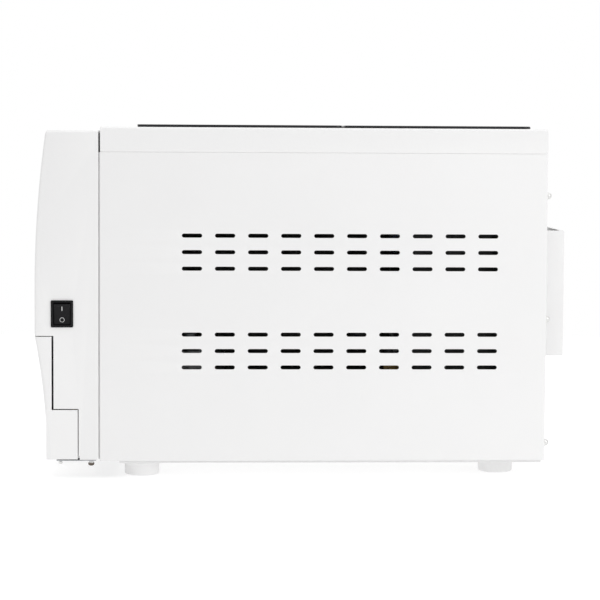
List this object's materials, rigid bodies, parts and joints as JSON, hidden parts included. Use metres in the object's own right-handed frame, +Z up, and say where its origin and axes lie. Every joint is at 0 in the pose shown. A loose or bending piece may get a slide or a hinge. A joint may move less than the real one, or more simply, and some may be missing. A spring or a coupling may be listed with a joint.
{
  "type": "benchtop autoclave",
  "caption": "Benchtop steam autoclave with a swing door, a control column, vented sides and two water tanks under lids in the top.",
  "frame": {"origin": "on the bench, under the middle of the machine", "axes": "+X to the right for someone facing the front, -Y out of the front, +Z up"},
  "size_m": [0.4483, 0.6118, 0.4047],
  "materials": {
    "white_paint": "fine satin powder coat",
    "white_plastic": "fine-grained satin moulding",
    "black_gloss": "polished",
    "black_plastic": "satin",
    "grey_plastic": "satin",
    "pale_rubber": "matt",
    "steel": "brushed stainless",
    "zinc_steel": "zinc-plated sheet",
    "aluminium": "cast, bead-blasted",
    "brass": "machined",
    "silicone": "moulded silicone",
    "glass_wool": "wrapped felt",
    "tank_plastic": "natural polypropylene",
    "window": "tinted acrylic",
    "circuit_board": "solder mask"
  },
  "bodies": {
    "housing": {"air_filter": "white_plastic", "band_heater": "zinc_steel", "base_pan": "white_paint", "clean_water_tank": "tank_plastic", "condenser": "aluminium", "control_board": "circuit_board", "display_window": "window", "door_hinge_bracket": "steel", "door_hinge_pin": "steel", "drain_taps": "brass", "fascia": "white_plastic", "front_bulkhead": "zinc_steel", "front_left_foot": "pale_rubber", "front_right_foot": "pale_rubber", "insulation_jacket": "glass_wool", "left_side_panel": "white_paint", "lower_catch": "steel", "lower_tray": "steel", "mains_inlet": "black_plastic", "middle_tray": "steel", "pressure_vessel": "steel", "printer_unit": "black_plastic", "rear_hood": "white_paint", "rear_left_foot": "pale_rubber", "rear_panel": "white_paint", "rear_right_foot": "pale_rubber", "right_side_panel": "white_paint", "safety_valve": "brass", "service_hinge_plate": "zinc_steel", "steam_generator": "zinc_steel", "switch_bezel": "black_gloss", "top_cover": "white_paint", "tray_rack": "steel", "upper_catch": "steel", "upper_tray": "steel", "vacuum_pump": "aluminium", "valve_block": "brass", "vessel_cradle": "zinc_steel", "waste_water_tank": "tank_plastic", "water_pump": "black_plastic"},
    "door": {"door_cover": "white_plastic", "door_liner": "white_plastic", "door_plate": "steel", "door_gasket": "silicone", "door_hinge_arm": "steel"},
    "handle": {"door_handle": "grey_plastic", "latch_cam": "steel"},
    "upper_bolt": {"upper_latch_bolt": "steel"},
    "lower_bolt": {"lower_latch_bolt": "steel"},
    "service_door": {"service_door": "white_plastic"},
    "clean_lid": {"clean_tank_lid": "black_gloss"},
    "waste_lid": {"waste_tank_lid": "black_gloss"},
    "rocker": {"switch_rocker": "black_gloss"},
    "down_key": {"down_key": "grey_plastic"},
    "up_key": {"up_key": "grey_plastic"},
    "start_key": {"start_key": "grey_plastic"},
    "printer_cover": {"printer_cover": "grey_plastic"},
    "fan": {"fan_rotor": "black_plastic"},
    "clean_drain_knob": {"clean_drain_knob": "black_plastic"},
    "waste_drain_knob": {"waste_drain_knob": "black_plastic"}
  },
  "joints": [
    {"name": "door_swing", "type": "hinge", "parent": "housing", "child": "door", "pos_m": [-0.1955, -0.2845, 0.188], "axis": [0, 0, -1], "range_deg": [0, 92]},
    {"name": "handle_turn", "type": "hinge", "parent": "door", "child": "handle", "pos_m": [-0.062, -0.2835, 0.188], "axis": [0, 1, 0], "range_deg": [0, 90]},
    {"name": "upper_bolt_slide", "type": "slide", "parent": "door", "child": "upper_bolt", "axis": [0, 0, 1], "range_m": [0, 0.012]},
    {"name": "lower_bolt_slide", "type": "slide", "parent": "door", "child": "lower_bolt", "axis": [0, 0, -1], "range_m": [0, 0.012]},
    {"name": "service_door_swing", "type": "hinge", "parent": "housing", "child": "service_door", "pos_m": [0.213, -0.2751, 0.021], "axis": [0, 0, 1], "range_deg": [0, 88]},
    {"name": "clean_lid_swing", "type": "hinge", "parent": "housing", "child": "clean_lid", "pos_m": [0, 0.0493, 0.4021], "axis": [-1, 0, 0], "range_deg": [0, 80]},
    {"name": "waste_lid_swing", "type": "hinge", "parent": "housing", "child": "waste_lid", "pos_m": [0, 0.2711, 0.4021], "axis": [-1, 0, 0], "range_deg": [0, 80]},
    {"name": "rocker_switch", "type": "hinge", "parent": "housing", "child": "rocker", "pos_m": [0.2196, -0.27275, 0.18835], "axis": [0, -1, 0], "range_deg": [0, 24]},
    {"name": "down_key_press", "type": "slide", "parent": "housing", "child": "down_key", "axis": [0, 1, 0], "range_m": [0, 0.0012], "stiffness_N_per_m": 300},
    {"name": "up_key_press", "type": "slide", "parent": "housing", "child": "up_key", "axis": [0, 1, 0], "range_m": [0, 0.0012], "stiffness_N_per_m": 300},
    {"name": "start_key_press", "type": "slide", "parent": "housing", "child": "start_key", "axis": [0, 1, 0], "range_m": [0, 0.0012], "stiffness_N_per_m": 300},
    {"name": "printer_cover_swing", "type": "hinge", "parent": "housing", "child": "printer_cover", "pos_m": [0.15, -0.3015, 0.178], "axis": [1, 0, 0], "range_deg": [0, 70]},
    {"name": "fan_spin", "type": "hinge", "parent": "housing", "child": "fan", "pos_m": [0.123, 0.266, 0.214], "axis": [0, 1, 0], "continuous": true},
    {"name": "clean_drain_turn", "type": "hinge", "parent": "housing", "child": "clean_drain_knob", "pos_m": [0.13, -0.2645, 0.065], "axis": [0, 1, 0], "range_deg": [0, 90]},
    {"name": "waste_drain_turn", "type": "hinge", "parent": "housing", "child": "waste_drain_knob", "pos_m": [0.166, -0.2645, 0.065], "axis": [0, 1, 0], "range_deg": [0, 90]}
  ],
  "couplings": [
    {"joint": "upper_bolt_slide", "follows": "handle_turn", "m_per_rad": 0.0076},
    {"joint": "lower_bolt_slide", "follows": "handle_turn", "m_per_rad": 0.0076}
  ]
}
